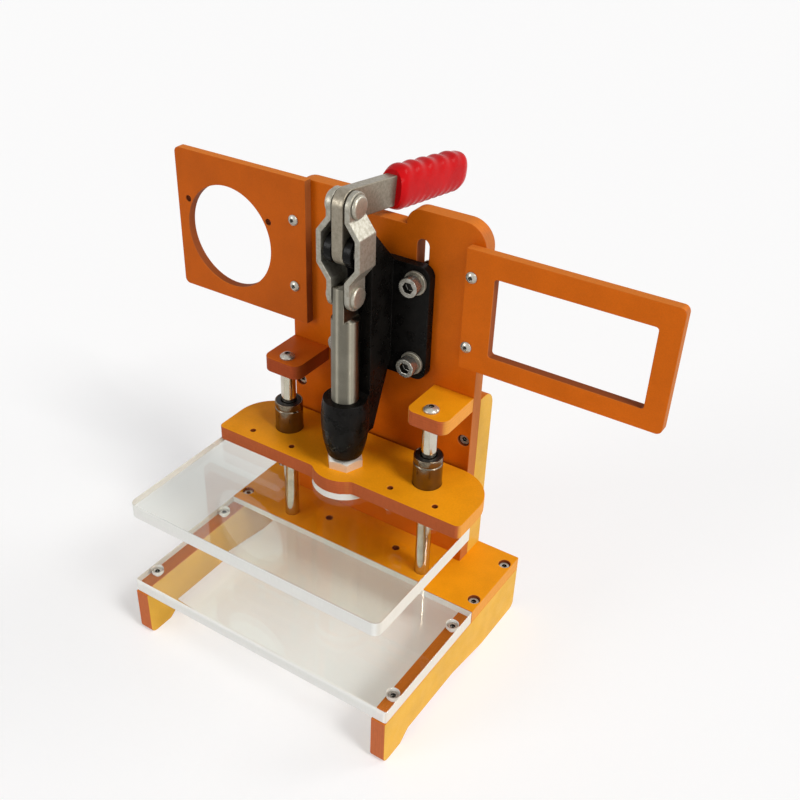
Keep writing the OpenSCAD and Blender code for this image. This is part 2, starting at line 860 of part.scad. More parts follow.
module link(side) {
  color(zinc) mirror([side < 0 ? 1 : 0, 0, 0]) difference() {
    intersection() {
      upright(axis_y - link_w / 2, link_w) link_edge();
      sidewise(0, link_out + link_bow + cut) {
        for (z = [pin_c_z, pin_b_z]) translate([axis_y, z]) circle(d = link_w);
        translate([axis_y - link_w / 2, pin_c_z]) square([link_w, link_l]);
      }
    }
    along_x(pin_d + 2 * run_gap, 0, link_out + cut, axis_y, pin_b_z);
    along_x(pin_d + 2 * seat_gap, 0, link_out + cut, axis_y, pin_c_z);
  }
}

module link_left() {
  link(-1);
}

module link_right() {
  link(1);
}

module link_rivet(side) {
  color(zinc) mirror([side < 0 ? 1 : 0, 0, 0]) {
    along_x(pin_d, link_in, link_out, axis_y, pin_c_z);
    along_x(rivet_head_d, link_out, link_out + rivet_head_t, axis_y, pin_c_z);
  }
}

module link_rivet_left() {
  link_rivet(-1);
}

module link_rivet_right() {
  link_rivet(1);
}

module plunger() {
  color(zinc) difference() {
    along_z(plunger_d, nut_top, plunger_top, 0, axis_y);
    for (sx = [-1, 1]) translate([sx * (tongue_t / 2 + plunger_d / 2), axis_y, shoulder_z + plunger_d])
      cube([plunger_d, 2 * plunger_d, 2 * plunger_d], center = true);
    along_x(pin_d + 2 * seat_gap, -plunger_d, plunger_d, axis_y, pin_c_z);
    along_z(bolt_d + 2 * seat_gap, nut_top - cut, nut_top + bolt_reach + bolt_spare, 0, axis_y);
  }
}

module plunger_pin() {
  color(zinc) along_x(pin_d, -tongue_t / 2, tongue_t / 2, axis_y, pin_c_z);
}

module press_bolt() {
  color(zinc) {
    along_z(bolt_d, pusher_top - cut / 2, nut_top + bolt_reach, 0, axis_y);
    translate([0, axis_y, pusher_top - bolt_head_h])
      cylinder(d = bolt_key_w / cos(30), h = bolt_head_h, $fn = 6);
  }
}

module press_nut() {
  color(zinc) translate([0, axis_y, press_z]) difference() {
    rotate(35) cylinder(d = bolt_key_w / cos(30), h = jam_nut_h, $fn = 6);
    translate([0, 0, -cut]) cylinder(d = bolt_d + 2 * seat_gap, h = jam_nut_h + 2 * cut);
  }
}

// Screws

module down_screws(places, z, l) {
  color(steel) for (p = places) translate([p[0], p[1], z]) socket_screw(m3, l);
}

module bed_screws() {
  down_screws(bed_screw_at, -m3_sink_h, plate_t + screw_bite - m3_sink_h);
}

module base_screws() {
  down_screws(base_screw_at, -m3_sink_h, plate_t + screw_bite - m3_sink_h);
}

module back_plate_screws() {
  color(steel) for (p = back_screw_at)
    translate([p[0], p[1], -plate_t]) rotate([180, 0, 0]) dome_screw(m3_low, plate_t + screw_bite);
}

module rib_screws() {
  color(steel) for (p = rib_screw_at)
    translate([p[0], back_front + m3_sink_h, p[1]]) rotate([90, 0, 0])
      socket_screw(m3, plate_t - m3_sink_h + screw_bite);
}

module panel_screws() {
  color(steel) for (p = panel_screw_at)
    translate([p[0], panel_front, p[1]]) rotate([90, 0, 0]) dome_screw(m3_low, panel_t + plate_t);
}

module bracket_screws() {
  color(steel) for (p = bracket_screw_at)
    translate([p[0], back_rear, p[1]]) rotate([-90, 0, 0])
      dome_screw(m3_low, plate_t + screw_bite);
}

module rod_screws() {
  color(steel) for (sx = [-1, 1])
    translate([sx * rod_x, rod_y, bracket_top]) dome_screw(m4, plate_t + screw_bite);
}

module rod_foot_screws() {
  color(steel) for (sx = [-1, 1])
    translate([sx * rod_x, rod_y, -plate_t]) rotate([180, 0, 0]) dome_screw(m4_wide, screw_bite);
}

module pusher_screws() {
  color(steel) for (p = pusher_screw_at)
    translate([p[0], p[1], pusher_bottom]) rotate([180, 0, 0])
      dome_screw(m3_low, 2 * plate_t - pusher_screw_short);
}

side_plate_left();
side_plate_right();
bed_plate();
base_plate();
back_plate();
rib_left();
rib_right();
panel_left();
panel_right();
bracket_left();
bracket_right();
rod_left();
rod_right();
clamp_body();
pivot_pin();
clamp_bolts();
clamp_washers();
clamp_back_washers();
clamp_nuts();
bed_screws();
base_screws();
back_plate_screws();
rib_screws();
panel_screws();
bracket_screws();
rod_screws();
rod_foot_screws();
handle_lever();
handle_grip();
handle_rivet();
link_left();
link_right();
link_rivet_left();
link_rivet_right();
plunger();
plunger_pin();
press_bolt();
press_nut();
press_plate();
pusher_plate();
pusher_screws();
bushing_left();
bushing_right();
bushing_seals();
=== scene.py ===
"""Looks of the circuit board test fixture: laminate frame, clear plates, guide rods and toggle clamp."""
import json
import math

import bpy
import bmesh
from mathutils import Matrix, Vector
from mathutils.bvhtree import BVHTree


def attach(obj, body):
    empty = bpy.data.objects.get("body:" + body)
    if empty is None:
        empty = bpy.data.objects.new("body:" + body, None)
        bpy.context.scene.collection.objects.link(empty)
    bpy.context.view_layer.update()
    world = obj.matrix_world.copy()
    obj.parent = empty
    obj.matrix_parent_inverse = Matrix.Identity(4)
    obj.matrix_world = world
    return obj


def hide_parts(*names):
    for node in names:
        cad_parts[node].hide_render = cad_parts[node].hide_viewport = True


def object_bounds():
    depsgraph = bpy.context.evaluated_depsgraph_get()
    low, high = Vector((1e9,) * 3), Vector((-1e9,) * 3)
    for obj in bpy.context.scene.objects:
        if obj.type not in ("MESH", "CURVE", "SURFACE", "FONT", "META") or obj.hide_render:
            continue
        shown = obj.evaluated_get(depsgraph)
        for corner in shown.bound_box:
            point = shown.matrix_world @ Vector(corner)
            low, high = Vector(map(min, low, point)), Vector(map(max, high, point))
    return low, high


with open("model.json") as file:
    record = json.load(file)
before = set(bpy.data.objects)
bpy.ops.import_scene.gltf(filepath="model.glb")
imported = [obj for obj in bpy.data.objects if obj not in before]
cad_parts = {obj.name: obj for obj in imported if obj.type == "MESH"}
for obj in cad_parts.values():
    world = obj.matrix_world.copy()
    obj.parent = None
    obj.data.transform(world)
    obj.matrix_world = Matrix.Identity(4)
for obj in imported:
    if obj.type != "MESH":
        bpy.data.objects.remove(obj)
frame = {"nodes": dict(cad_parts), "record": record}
cad_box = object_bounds()
nodes = frame["nodes"]
record = frame["record"]
body_of = {n: b for b, group in record["behaviour"]["bodies"].items() for n in group}
joint_at = {j["name"]: Vector(j["pos_m"]) for j in record["behaviour"]["joints"] if "pos_m" in j}
scene = bpy.context.scene
scene.view_settings.view_transform = "Standard"

MM = 0.001
NEAR = 0.01 * MM  # places closer than this count as the same
X, Y, Z = Vector((1, 0, 0)), Vector((0, 1, 0)), Vector((0, 0, 1))
PLUNGER_LINE = Vector((0, joint_at["handle_swing"].y, 0))  # foot of the plunger's upright centre line

# Eased edges
EASE_FROM = math.radians(25)
EASE_EVENNESS = 60
SHEET_EASE = 0.35 * MM
CLEAR_EASE = 0.3 * MM

# Clear plates
CLEAR_GAP = 0.12 * MM
BED_CORNER_R = 1.8 * MM
NOTCH_SOLID_R = 14.5 * MM
NOTCH_SEEN_R = 17.0 * MM

# Press nut and rivets
NUT_CORNER_AT = math.radians(-50)
NUT_RIM_R = 7.5 * MM
NUT_CHAMFER = math.radians(30)
RIVET_DOME = 1.2 * MM

# Vinyl grip
GRIP_SLOPE = math.radians(8.2)
GRIP_START = 36.5 * MM
GRIP_LENGTH = 68.5 * MM
GRIP_HALF_W = 7.3 * MM
GRIP_HALF_H = 10.5 * MM
GRIP_SQUARENESS = 2.5
GRIP_DOME = 11 * MM
GRIP_LIP = 5 * MM
GRIP_RINGS, GRIP_SIDES = 150, 96
WAVE_PITCH_ABOVE, WAVE_PITCH_BELOW = 11.6 * MM, 6.4 * MM
WAVE_DEPTH_ABOVE, WAVE_DEPTH_BELOW = 0.045, 0.03
WAVE_SHIFT, WAVE_SLANT = 2.5 * MM, 0.35
WAVE_FADE_IN, WAVE_FADE_OUT = 9 * MM, 8 * MM


# Selecting and finishing, as done by hand

def let_go():
    """Nothing selected, object mode."""
    if bpy.context.object and bpy.context.object.mode != "OBJECT":
        bpy.ops.object.mode_set(mode="OBJECT")
    bpy.ops.object.select_all(action="DESELECT")


def take(piece):
    """Selects one piece and makes it active."""
    let_go()
    piece.select_set(True)
    bpy.context.view_layer.objects.active = piece


def edit(piece, mode="FACE"):
    """Edit mode with nothing selected."""
    take(piece)
    bpy.ops.object.mode_set(mode="EDIT")
    bpy.ops.mesh.select_mode(type=mode)
    bpy.ops.mesh.select_all(action="DESELECT")


def done():
    bpy.ops.object.mode_set(mode="OBJECT")


def pick_edges(piece, wanted):
    """Edit mode with the edges selected whose two ends both pass the test."""
    edit(piece, "EDGE")
    mesh = bmesh.from_edit_mesh(piece.data)
    for rim in mesh.edges:
        rim.select_set(all(wanted(v.co) for v in rim.verts))
    bmesh.update_edit_mesh(piece.data)


def pick_points(piece, wanted):
    """Edit mode with the points selected that pass the test."""
    edit(piece, "VERT")
    mesh = bmesh.from_edit_mesh(piece.data)
    for v in mesh.verts:
        v.select_set(wanted(v.co))
    bmesh.update_edit_mesh(piece.data)


def reach(points):
    """Lowest and highest corner of the box around some points."""
    points = list(points)
    return (Vector([min(p[i] for p in points) for i in range(3)]),
            Vector([max(p[i] for p in points) for i in range(3)]))


def settle(piece):
    """Puts the piece's place, turn and size into its mesh."""
    take(piece)
    bpy.ops.object.transform_apply(location=True, rotation=True, scale=True)


def face_out(piece):
    """Merges the piece's doubled points and turns its faces outwards."""
    edit(piece)
    bpy.ops.mesh.select_all(action="SELECT")
    bpy.ops.mesh.remove_doubles(threshold=1e-6)
    bpy.ops.mesh.normals_make_consistent(inside=False)
    done()


def ease(piece, width, segments=2):
    """Rounds the sharp edges a little and shades the rest smooth."""
    take(piece)
    bpy.ops.object.shade_smooth()
    soft = piece.modifiers.new("eased edge", "BEVEL")
    soft.width = width
    soft.segments = segments
    soft.limit_method = "ANGLE"
    soft.angle_limit = EASE_FROM
    soft.use_clamp_overlap = False
    soft.loop_slide = False
    bpy.ops.object.modifier_apply(modifier="eased edge")
    even = piece.modifiers.new("even shading", "WEIGHTED_NORMAL")
    even.weight = EASE_EVENNESS
    bpy.ops.object.modifier_apply(modifier="even shading")


def copy_solid(name):
    """A copy of a solid, merged and without the seams of its triangles."""
    piece = bpy.data.objects.new(name + "_finish", nodes[name].data.copy())
    scene.collection.objects.link(piece)
    take(piece)
    bpy.ops.mesh.customdata_custom_splitnormals_clear()
    edit(piece)
    bpy.ops.mesh.select_all(action="SELECT")
    bpy.ops.mesh.remove_doubles(threshold=2e-6)
    bpy.ops.mesh.mark_sharp(clear=True)
    bpy.ops.mesh.dissolve_limited(angle_limit=math.radians(0.3))
    done()
    return piece


def stand_for(piece, name, *materials):
    """Gives the piece its finish and lets it ride in a solid's place."""
    piece.data.materials.clear()
    for material in materials:
        piece.data.materials.append(material)
    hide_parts(name)
    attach(piece, body_of[name])


# Shader nodes

def feed(tree, node, inputs):
    """Sets each input to a value or links it to the socket that feeds it."""
    for key, value in inputs.items():
        if isinstance(value, bpy.types.NodeSocket):
            tree.links.new(value, node.inputs[key])
        else:
            node.inputs[key].default_value = value
    return node


def put(tree, kind, inputs=None, **settings):
    """Adds a node with its settings and inputs."""
    node = tree.nodes.new(kind)
    for key, value in settings.items():
        setattr(node, key, value)
    return feed(tree, node, inputs or {})


def noise(tree, where, scale, detail=4.0, rough=0.55):
    return put(tree, "ShaderNodeTexNoise",
               {"Vector": where, "Scale": scale, "Detail": detail, "Roughness": rough}).outputs["Fac"]


def stretch(tree, where, scale):
    return put(tree, "ShaderNodeMapping", {"Vector": where, "Scale": scale}).outputs[0]


def spread(tree, value, low, high, to_low=0.0, to_high=1.0):
    """Stretches a value between two limits, with soft ends."""
    return put(tree, "ShaderNodeMapRange",
               {"Value": value, "From Min": low, "From Max": high, "To Min": to_low, "To Max": to_high},
               interpolation_type="SMOOTHSTEP").outputs["Result"]


def calc(tree, way, a, b):
    return put(tree, "ShaderNodeMath", {0: a, 1: b}, operation=way).outputs[0]


def turned_to(tree, part):
    """1 where this part of the normal is large either way, otherwise 0."""
    size = put(tree, "ShaderNodeMath", {0: part}, operation="ABSOLUTE").outputs[0]
    return spread(tree, size, 0.5, 0.9)


def dot(tree, a, b):
    return put(tree, "ShaderNodeVectorMath", {0: a, 1: b}, operation="DOT_PRODUCT").outputs["Value"]


def blend(tree, amount, a, b):
    """Mixes two colours."""
    return put(tree, "ShaderNodeMix", {0: amount, 6: a, 7: b}, data_type="RGBA").outputs[2]


def between(tree, amount, a, b):
    """Mixes two values."""
    return put(tree, "ShaderNodeMix", {0: amount, 2: a, 3: b}).outputs[0]


def shade(tree, color, value):
    return put(tree, "ShaderNodeHueSaturation", {"Color": color, "Value": value}).outputs[0]


def bump(tree, height, strength, distance):
    return put(tree, "ShaderNodeBump",
               {"Height": height, "Strength": strength, "Distance": distance}).outputs["Normal"]


def ray_is(tree, *kinds):
    """1 where the ray is of one of these kinds, otherwise 0."""
    path = put(tree, "ShaderNodeLightPath").outputs
    answer = path[kinds[0]]
    for kind in kinds[1:]:
        answer = calc(tree, "MAXIMUM", answer, path[kind])
    return answer


def new_group(name, ins, outs):
    """An empty shader group with its sockets."""
    group = bpy.data.node_groups.new(name, "ShaderNodeTree")
    kinds = {"color": "NodeSocketColor", "value": "NodeSocketFloat", "vector": "NodeSocketVector"}
    for label, kind in ins:
        group.interface.new_socket(name=label, in_out="INPUT", socket_type=kinds[kind])
    for label, kind in outs:
        group.interface.new_socket(name=label, in_out="OUTPUT", socket_type=kinds[kind])
    return group, group.nodes.new("NodeGroupInput").outputs, group.nodes.new("NodeGroupOutput").inputs


def make_sheet_group():
    """Pressed sheet: mottled faces, and sawn edges that show its layers; each edge takes a colour by the way that
    it faces, painted light and shade.
    """
    g, given, result = new_group(
        "pressed_sheet",
        [("Axis", "vector"), ("Face", "color"), ("Cut", "color"), ("Side", "color"), ("Top", "color"),
         ("Layers", "value")],
        [("Color", "color"), ("Roughness", "value"), ("Height", "value")])
    at = put(g, "ShaderNodeTexCoord").outputs
    facing = put(g, "ShaderNodeMath", {0: dot(g, at["Normal"], given["Axis"])}, operation="ABSOLUTE").outputs[0]
    on_face = spread(g, facing, 0.55, 0.95)
    toward = put(g, "ShaderNodeSeparateXYZ", {0: at["Normal"]}).outputs
    cloud = noise(g, at["Object"], 55.0, 5.0)
    speck = noise(g, at["Object"], 1500.0, 3.0, 0.7)
    layer = put(g, "ShaderNodeTexNoise", {"W": dot(g, at["Object"], given["Axis"]), "Scale": 2200.0, "Detail": 2.0},
                noise_dimensions="1D").outputs["Fac"]
    saw = noise(g, stretch(g, at["Object"], (1.0, 1.0, 0.25)), 900.0, 4.0, 0.65)

    tone = calc(g, "ADD", spread(g, cloud, 0.3, 0.7, -0.055, 0.055), spread(g, speck, 0.3, 0.7, -0.05, 0.05))
    face = shade(g, given["Face"], calc(g, "ADD", tone, 1.0))
    # Edges facing sideways take the side colour and edges facing up the top colour: painted light from the right
    # and from above.
    edge = blend(g, turned_to(g, toward["X"]), given["Cut"], given["Side"])
    edge = blend(g, turned_to(g, toward["Z"]), edge, given["Top"])
    lines = calc(g, "MULTIPLY", spread(g, layer, 0.35, 0.65, -0.5, 0.5), given["Layers"])
    rough_cut = calc(g, "ADD", lines, spread(g, saw, 0.3, 0.7, -0.05, 0.05))
    edge = shade(g, edge, calc(g, "ADD", rough_cut, 1.0))
    g.links.new(blend(g, on_face, edge, face), result["Color"])

    dull = spread(g, noise(g, at["Object"], 120.0, 6.0, 0.65), 0.3, 0.7, 0.34, 0.5)
    g.links.new(between(g, on_face, 0.62, dull), result["Roughness"])
    height = between(g, on_face, calc(g, "ADD", saw, lines), calc(g, "MULTIPLY", speck, 0.45))
    g.links.new(height, result["Height"])
    return g


def make_metal_group():
    """Plated or turned metal: blotches, drawn lines and a haze that comes and goes."""
    g, given, result = new_group(
        "worn_metal",
        [("Pale", "color"), ("Dull", "color"), ("Blotch", "value"), ("Line", "value"), ("Draw", "vector"),
         ("Polish", "value"), ("Haze", "value")],
        [("Color", "color"), ("Roughness", "value"), ("Height", "value")])
    at = put(g, "ShaderNodeTexCoord").outputs["Object"]
    drawn = put(g, "ShaderNodeVectorMath", {0: at, 1: given["Draw"]}, operation="MULTIPLY").outputs[0]
    blotch = spread(g, noise(g, at, given["Blotch"], 5.0, 0.6), 0.32, 0.68)
    line = noise(g, drawn, given["Line"], 4.0, 0.65)
    amount = calc(g, "ADD", calc(g, "MULTIPLY", blotch, 0.65),
                  calc(g, "MULTIPLY", spread(g, line, 0.3, 0.7), 0.35))
    g.links.new(blend(g, amount, given["Pale"], given["Dull"]), result["Color"])
    g.links.new(between(g, amount, given["Polish"], given["Haze"]), result["Roughness"])
    g.links.new(line, result["Height"])
    return g


def make_grain_group():
    """Cast or moulded grain: fine pits with broader swells."""
    g, given, result = new_group(
        "moulded_grain", [("Size", "value"), ("Swell", "value")], [("Height", "value"), ("Mask", "value")])
    at = put(g, "ShaderNodeTexCoord").outputs["Object"]
    pits = put(g, "ShaderNodeTexVoronoi", {"Vector": at, "Scale": given["Size"]}).outputs["Distance"]
    fine = noise(g, at, given["Size"], 4.0, 0.6)
    broad = noise(g, at, given["Swell"], 3.0)
    height = calc(g, "ADD", calc(g, "MULTIPLY", pits, 0.5), calc(g, "ADD", fine, broad))
    g.links.new(height, result["Height"])
    g.links.new(spread(g, broad, 0.3, 0.7), result["Mask"])
    return g


pressed_sheet, worn_metal, moulded_grain = make_sheet_group(), make_metal_group(), make_grain_group()


# Materials

def start_material(name, **sockets):
    """A material with its one shader; plain values go on the shader's own sockets."""
    material = bpy.data.materials.new(name)
    material.use_nodes = True
    tree = material.node_tree
    shader = tree.nodes["Principled BSDF"]
    for key, value in sockets.items():
        shader.inputs[key.replace("_", " ")].default_value = value
    return material, tree, shader.inputs


def laminate(name, axis, face, cut, side, top):
    """Laminate sheet: its faces look along the axis, and its edges take a colour by the way that they look, which
    paints the light and shade that falls on each side.
    """
    material, tree, shader = start_material(name, Specular_IOR_Level=0.08)
    sheet = put(tree, "ShaderNodeGroup", node_tree=pressed_sheet)
    feed(tree, sheet, {"Axis": axis, "Face": (*face, 1), "Cut": (*cut, 1), "Side": (*side, 1), "Top": (*top, 1),
                       "Layers": 0.12})
    tree.links.new(sheet.outputs["Color"], shader["Base Color"])
    tree.links.new(sheet.outputs["Roughness"], shader["Roughness"])
    tree.links.new(bump(tree, sheet.outputs["Height"], 0.25, 0.0002), shader["Normal"])
    return material


def metal(name, pale, dull, blotch, line, draw, polish, haze, lift, metallic=1.0, turned=0.0):
    """Metal between two tones and two roughnesses; turned steel stretches its highlights around the axis."""
    material, tree, shader = start_material(name, Metallic=metallic)
    if turned:
        shader["Anisotropic"].default_value = turned
        shader["Anisotropic Rotation"].default_value = 0.25
    wear = put(tree, "ShaderNodeGroup", node_tree=worn_metal)
    feed(tree, wear, {"Pale": (*pale, 1), "Dull": (*dull, 1), "Blotch": blotch, "Line": line, "Draw": draw,
                      "Polish": polish, "Haze": haze})
    tree.links.new(wear.outputs["Color"], shader["Base Color"])
    tree.links.new(wear.outputs["Roughness"], shader["Roughness"])
    tree.links.new(bump(tree, wear.outputs["Height"], lift, 0.0001), shader["Normal"])
    return material


def moulded(name, color, other, size, swell, rough, specular, lift):
    """Painted casting, vinyl or rubber."""
    material, tree, shader = start_material(name, Specular_IOR_Level=specular)
    grain = put(tree, "ShaderNodeGroup", node_tree=moulded_grain)
    feed(tree, grain, {"Size": size, "Swell": swell})
    mask = grain.outputs["Mask"]
    tree.links.new(blend(tree, mask, (*color, 1), (*other, 1)), shader["Base Color"])
    tree.links.new(spread(tree, mask, 0.0, 1.0, rough - 0.07, rough + 0.07), shader["Roughness"])
    tree.links.new(bump(tree, grain.outputs["Height"], lift, 0.0002), shader["Normal"])
    return material


def let_light_by(tree, shader):
    """Most shadow and diffuse rays pass, so that the clear sheet throws a pale shadow."""
    passing = ray_is(tree, "Is Shadow Ray", "Is Diffuse Ray")
    tree.links.new(spread(tree, passing, 0.0, 1.0, 1.0, 0.24), shader["Alpha"])


def clear_face():
    """Polished face of the clear sheet, with faint scuffs."""
    material, tree, shader = start_material("clear_sheet_face", IOR=1.49, Transmission_Weight=1.0)
    at = put(tree, "ShaderNodeTexCoord").outputs["Object"]
    smear = noise(tree, stretch(tree, at, (1.0, 0.3, 1.0)), 160.0, 6.0)
    tint = blend(tree, smear, (0.92, 0.94, 0.895, 1), (0.88, 0.905, 0.855, 1))
    tree.links.new(tint, shader["Base Color"])
    tree.links.new(spread(tree, smear, 0.35, 0.75, 0.0, 0.045), shader["Roughness"])
    tree.links.new(bump(tree, smear, 0.02, 0.0002), shader["Normal"])
    let_light_by(tree, shader)
    return material


def clear_edge():
    """Sawn edge or drilled wall of the clear sheet, frosted white."""
    material, tree, shader = start_material("clear_sheet_edge", IOR=1.49, Transmission_Weight=0.1)
    at = put(tree, "ShaderNodeTexCoord").outputs
    saw = noise(tree, stretch(tree, at["Object"], (1.0, 1.0, 0.2)), 1100.0, 5.0)
    toward = put(tree, "ShaderNodeSeparateXYZ", {0: at["Normal"]}).outputs
    front = blend(tree, saw, (0.86, 0.86, 0.82, 1), (0.77, 0.77, 0.73, 1))
    side = blend(tree, saw, (0.70, 0.66, 0.59, 1), (0.60, 0.57, 0.50, 1))
    tree.links.new(blend(tree, turned_to(tree, toward["X"]), front, side), shader["Base Color"])
    tree.links.new(spread(tree, saw, 0.3, 0.7, 0.42, 0.62), shader["Roughness"])
    tree.links.new(bump(tree, saw, 0.3, 0.0003), shader["Normal"])
    let_light_by(tree, shader)
    return material


CUT = (0.42, 0.095, 0.028)
# Paler colour for edges facing sideways: painted light from the right.
SIDE_PAINTED_LIGHT = (0.62, 0.26, 0.045)
# Lighter colour for edges facing up: painted light from above.
TOP_PAINTED_LIGHT = (0.62, 0.17, 0.02)
# Dark colour for the walls of holes, windows and slots: painted shade in the hollows.
BORE_PAINTED_SHADE = (0.24, 0.055, 0.012)
# One laminate in copies by the way its sheets lie: the yellower level faces, the redder and darker upright faces
# and the paler sideways faces are painted light and shade.
laminate_level_painted_light = laminate("laminate_level_painted_light", Z, (0.80, 0.30, 0.006), CUT, SIDE_PAINTED_LIGHT, TOP_PAINTED_LIGHT)
laminate_upright_painted_shade = laminate("laminate_upright_painted_shade", Y, (0.60, 0.121, 0.0025), CUT, (0.42, 0.13, 0.03), TOP_PAINTED_LIGHT)
laminate_sidewise_painted_light = laminate("laminate_sidewise_painted_light", X, (0.61, 0.335, 0.042), (0.52, 0.14, 0.048), SIDE_PAINTED_LIGHT, TOP_PAINTED_LIGHT)
# Darker copies for the left bracket and the left panel: painted shade, as the clamp and the fall of the light leave
# them darker.
level_deep_painted_shade = laminate("laminate_level_deep_painted_shade", Z, (0.70, 0.15, 0.010), (0.34, 0.06, 0.015), (0.36, 0.07, 0.012), TOP_PAINTED_LIGHT)
upright_deep_painted_shade = laminate("laminate_upright_deep_painted_shade", Y, (0.515, 0.098, 0.002), CUT, (0.34, 0.10, 0.024), TOP_PAINTED_LIGHT)
# Dark materials for the walls of holes, windows and slots: painted shade.
level_bore_painted_shade, upright_bore_painted_shade, sidewise_bore_painted_shade = (
    laminate(name, axis, BORE_PAINTED_SHADE, BORE_PAINTED_SHADE, BORE_PAINTED_SHADE, BORE_PAINTED_SHADE)
    for name, axis in (("level_bore_painted_shade", Z), ("upright_bore_painted_shade", Y), ("sidewise_bore_painted_shade", X)))
clear_sheet, frosted_edge = clear_face(), clear_edge()

EVEN, DRAWN_UP, DRAWN_BACK = (1.0, 1.0, 1.0), (1.0, 1.0, 0.4), (1.0, 0.4, 1.0)
LATHE = (0.15, 0.15, 1.0)
zinc = metal("zinc_plate", pale=(0.40, 0.385, 0.33), dull=(0.25, 0.23, 0.18), blotch=620.0, line=2400.0,
             draw=DRAWN_UP, polish=0.36, haze=0.5, lift=0.1, metallic=0.72)
lever_zinc = metal("lever_zinc", pale=(0.31, 0.275, 0.215), dull=(0.20, 0.172, 0.125), blotch=620.0, line=2400.0,
                   draw=DRAWN_BACK, polish=0.32, haze=0.46, lift=0.1, metallic=0.8)
rivet_zinc = metal("rivet_zinc", pale=(0.46, 0.43, 0.36), dull=(0.31, 0.285, 0.225), blotch=800.0, line=2400.0,
                   draw=EVEN, polish=0.28, haze=0.4, lift=0.06, metallic=0.75)
bright_zinc = metal("bright_zinc", pale=(0.84, 0.81, 0.73), dull=(0.76, 0.73, 0.65), blotch=420.0, line=2600.0,
                    draw=EVEN, polish=0.26, haze=0.36, lift=0.02, metallic=0.62)
plunger_steel = metal("turned_steel", pale=(0.25, 0.234, 0.188), dull=(0.195, 0.18, 0.142), blotch=60.0,
                      line=5200.0, draw=LATHE, polish=0.42, haze=0.48, lift=0.02, turned=1.0)
rod_chrome = metal("ground_chrome", pale=(0.66, 0.61, 0.52), dull=(0.52, 0.47, 0.39), blotch=90.0, line=6000.0,
                   draw=(0.2, 0.2, 1.0), polish=0.07, haze=0.14, lift=0.03)
bushing_steel = metal("bearing_steel", pale=(0.23, 0.188, 0.138), dull=(0.15, 0.122, 0.09), blotch=140.0,
                      line=5200.0, draw=LATHE, polish=0.14, haze=0.26, lift=0.05)
screw_steel = metal("screw_steel", pale=(0.56, 0.535, 0.475), dull=(0.36, 0.335, 0.28), blotch=700.0, line=4200.0,
                    draw=EVEN, polish=0.2, haze=0.36, lift=0.08, metallic=0.65)
bolt_steel = metal("bolt_steel", pale=(0.42, 0.405, 0.365), dull=(0.24, 0.225, 0.19), blotch=600.0, line=4200.0,
                   draw=EVEN, polish=0.18, haze=0.32, lift=0.05, metallic=0.85)
# Near-black steel for the inside of key sockets: painted shade in the recess.
socket_shade = metal("socket_painted_shade", pale=(0.05, 0.046, 0.04), dull=(0.025, 0.023, 0.02), blotch=700.0,
                     line=4200.0, draw=EVEN, polish=0.4, haze=0.6, lift=0.12)
black_casting = moulded("black_casting", color=(0.0032, 0.0028, 0.0024), other=(0.006, 0.0054, 0.0047), size=700.0,
                        swell=160.0, rough=0.3, specular=0.1, lift=0.4)
red_vinyl = moulded("red_vinyl", color=(0.48, 0.004, 0.006), other=(0.40, 0.003, 0.005), size=1300.0, swell=90.0,
                    rough=0.22, specular=0.05, lift=0.1)
seal_rubber = moulded("seal_rubber", color=(0.005, 0.005, 0.005), other=(0.009, 0.008, 0.008), size=1500.0,
                      swell=300.0, rough=0.4, specular=0.2, lift=0.15)


# Sheet parts

def shade_bores(piece):
    """Gives the walls of holes, windows and slots the second, darker material, where they look at the piece itself:
    painted shade in the hollows.
    """
    mesh = piece.data
    tree = BVHTree.FromPolygons([v.co for v in mesh.vertices], [tuple(p.vertices) for p in mesh.polygons])
    for face in mesh.polygons:
        if tree.ray_cast(face.center + face.normal * 0.05 * MM, face.normal, 100 * MM)[0]:
            face.material_index = 1


def draw_in(piece, gap):
    """Takes the sheet's sides in by a hair, so that they don't lie in the faces that they touch."""
    low, high = reach(v.co for v in piece.data.vertices)
    size = high - low
    edit(piece)
    bpy.ops.mesh.select_all(action="SELECT")
    bpy.ops.transform.resize(value=(1 - 2 * gap / size.x, 1 - 2 * gap / size.y, 1.0),
                             center_override=(low + high) / 2)
    done()


def round_front(piece):
    """Rounds the sheet's two front corners."""
    low, high = reach(v.co for v in piece.data.vertices)
    pick_edges(piece, lambda p: p.y < low.y + NEAR and abs(p.x) > high.x - NEAR)
    bpy.ops.mesh.bevel(offset=BED_CORNER_R, segments=6, affect="EDGES")
    done()


def widen_notch(piece):
    """Opens the notch in the pusher's rear edge to the width that shows in front of the press plate."""
    rear = max(v.co.y for v in piece.data.vertices)
    inset = PLUNGER_LINE.y - rear
    half, seen_half = (math.sqrt(r ** 2 - inset ** 2) for r in (NOTCH_SOLID_R, NOTCH_SEEN_R))
    grow = NOTCH_SEEN_R / NOTCH_SOLID_R

    def on_rear(p):
        return p.y > rear - NEAR

    def on_wall(p):
        return abs((p - PLUNGER_LINE).xy.length - NOTCH_SOLID_R) < 5 * NEAR

    pick_points(piece, lambda p: on_wall(p) and not on_rear(p))
    bpy.ops.transform.resize(value=(grow, grow, 1.0), center_override=PLUNGER_LINE)
    pick_points(piece, lambda p: on_rear(p) and abs(abs(p.x) - half) < 5 * NEAR)
    bpy.ops.transform.resize(value=(seen_half / half, 1.0, 1.0), center_override=(0, rear, 0))
    done()


